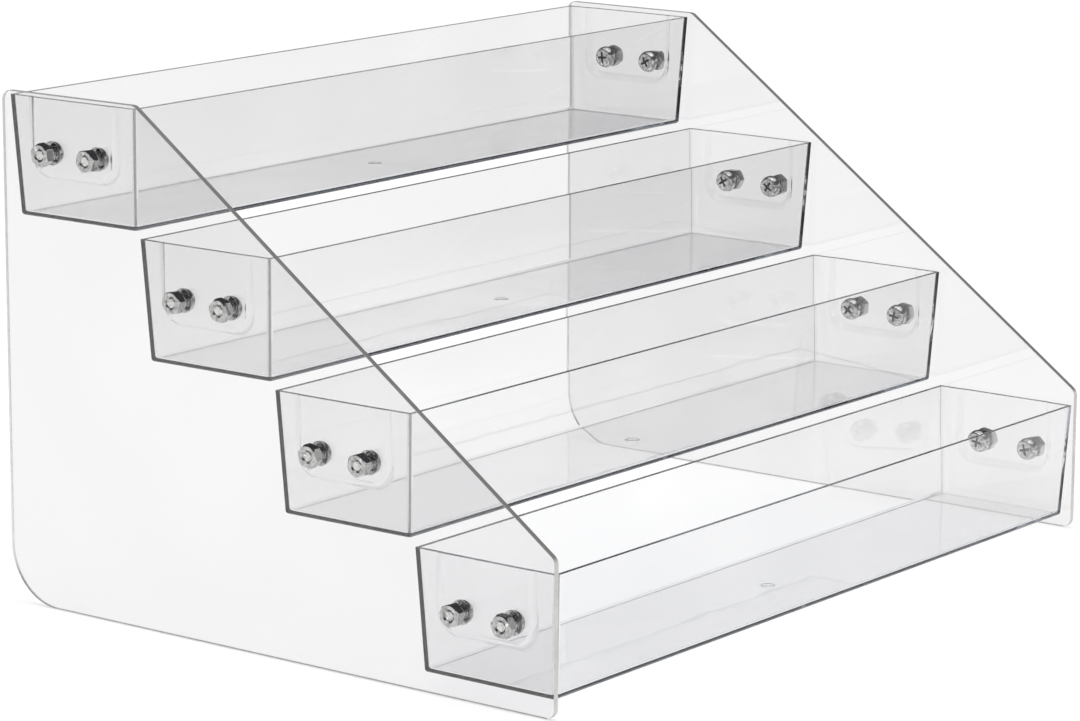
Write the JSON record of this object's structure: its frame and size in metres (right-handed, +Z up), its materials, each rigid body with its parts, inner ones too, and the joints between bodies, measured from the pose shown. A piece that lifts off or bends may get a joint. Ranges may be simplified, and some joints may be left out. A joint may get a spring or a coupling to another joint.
{
  "type": "tiered shelf riser",
  "caption": "Clear free-standing riser: open drafted trays step up between two sloped side panels, each tray end clamped by pan-head screws and hex nuts.",
  "frame": {"origin": "on the ground, midway between the panels and midway along their depth", "axes": "+X along the trays, to the right seen from the front; -Y the front, where the lowest tray is; +Z up"},
  "size_m": [0.3136, 0.227, 0.1716],
  "materials": {
    "clear_sheet": "clear polished acrylic sheet",
    "clear_moulding": "clear moulded plastic, glossy",
    "zinc_screw": "bright zinc plate",
    "zinc_nut": "bright zinc plate"
  },
  "bodies": {
    "root": {"side_panel_left": "clear_sheet", "side_panel_right": "clear_sheet", "tray_1": "clear_moulding", "tray_2": "clear_moulding", "tray_3": "clear_moulding", "tray_4": "clear_moulding", "screw_1_left_front": "zinc_screw", "nut_1_left_front": "zinc_nut", "screw_1_left_rear": "zinc_screw", "nut_1_left_rear": "zinc_nut", "screw_1_right_front": "zinc_screw", "nut_1_right_front": "zinc_nut", "screw_1_right_rear": "zinc_screw", "nut_1_right_rear": "zinc_nut", "screw_2_left_front": "zinc_screw", "nut_2_left_front": "zinc_nut", "screw_2_left_rear": "zinc_screw", "nut_2_left_rear": "zinc_nut", "screw_2_right_front": "zinc_screw", "nut_2_right_front": "zinc_nut", "screw_2_right_rear": "zinc_screw", "nut_2_right_rear": "zinc_nut", "screw_3_left_front": "zinc_screw", "nut_3_left_front": "zinc_nut", "screw_3_left_rear": "zinc_screw", "nut_3_left_rear": "zinc_nut", "screw_3_right_front": "zinc_screw", "nut_3_right_front": "zinc_nut", "screw_3_right_rear": "zinc_screw", "nut_3_right_rear": "zinc_nut", "screw_4_left_front": "zinc_screw", "nut_4_left_front": "zinc_nut", "screw_4_left_rear": "zinc_screw", "nut_4_left_rear": "zinc_nut", "screw_4_right_front": "zinc_screw", "nut_4_right_front": "zinc_nut", "screw_4_right_rear": "zinc_screw", "nut_4_right_rear": "zinc_nut"}
  },
  "joints": []
}
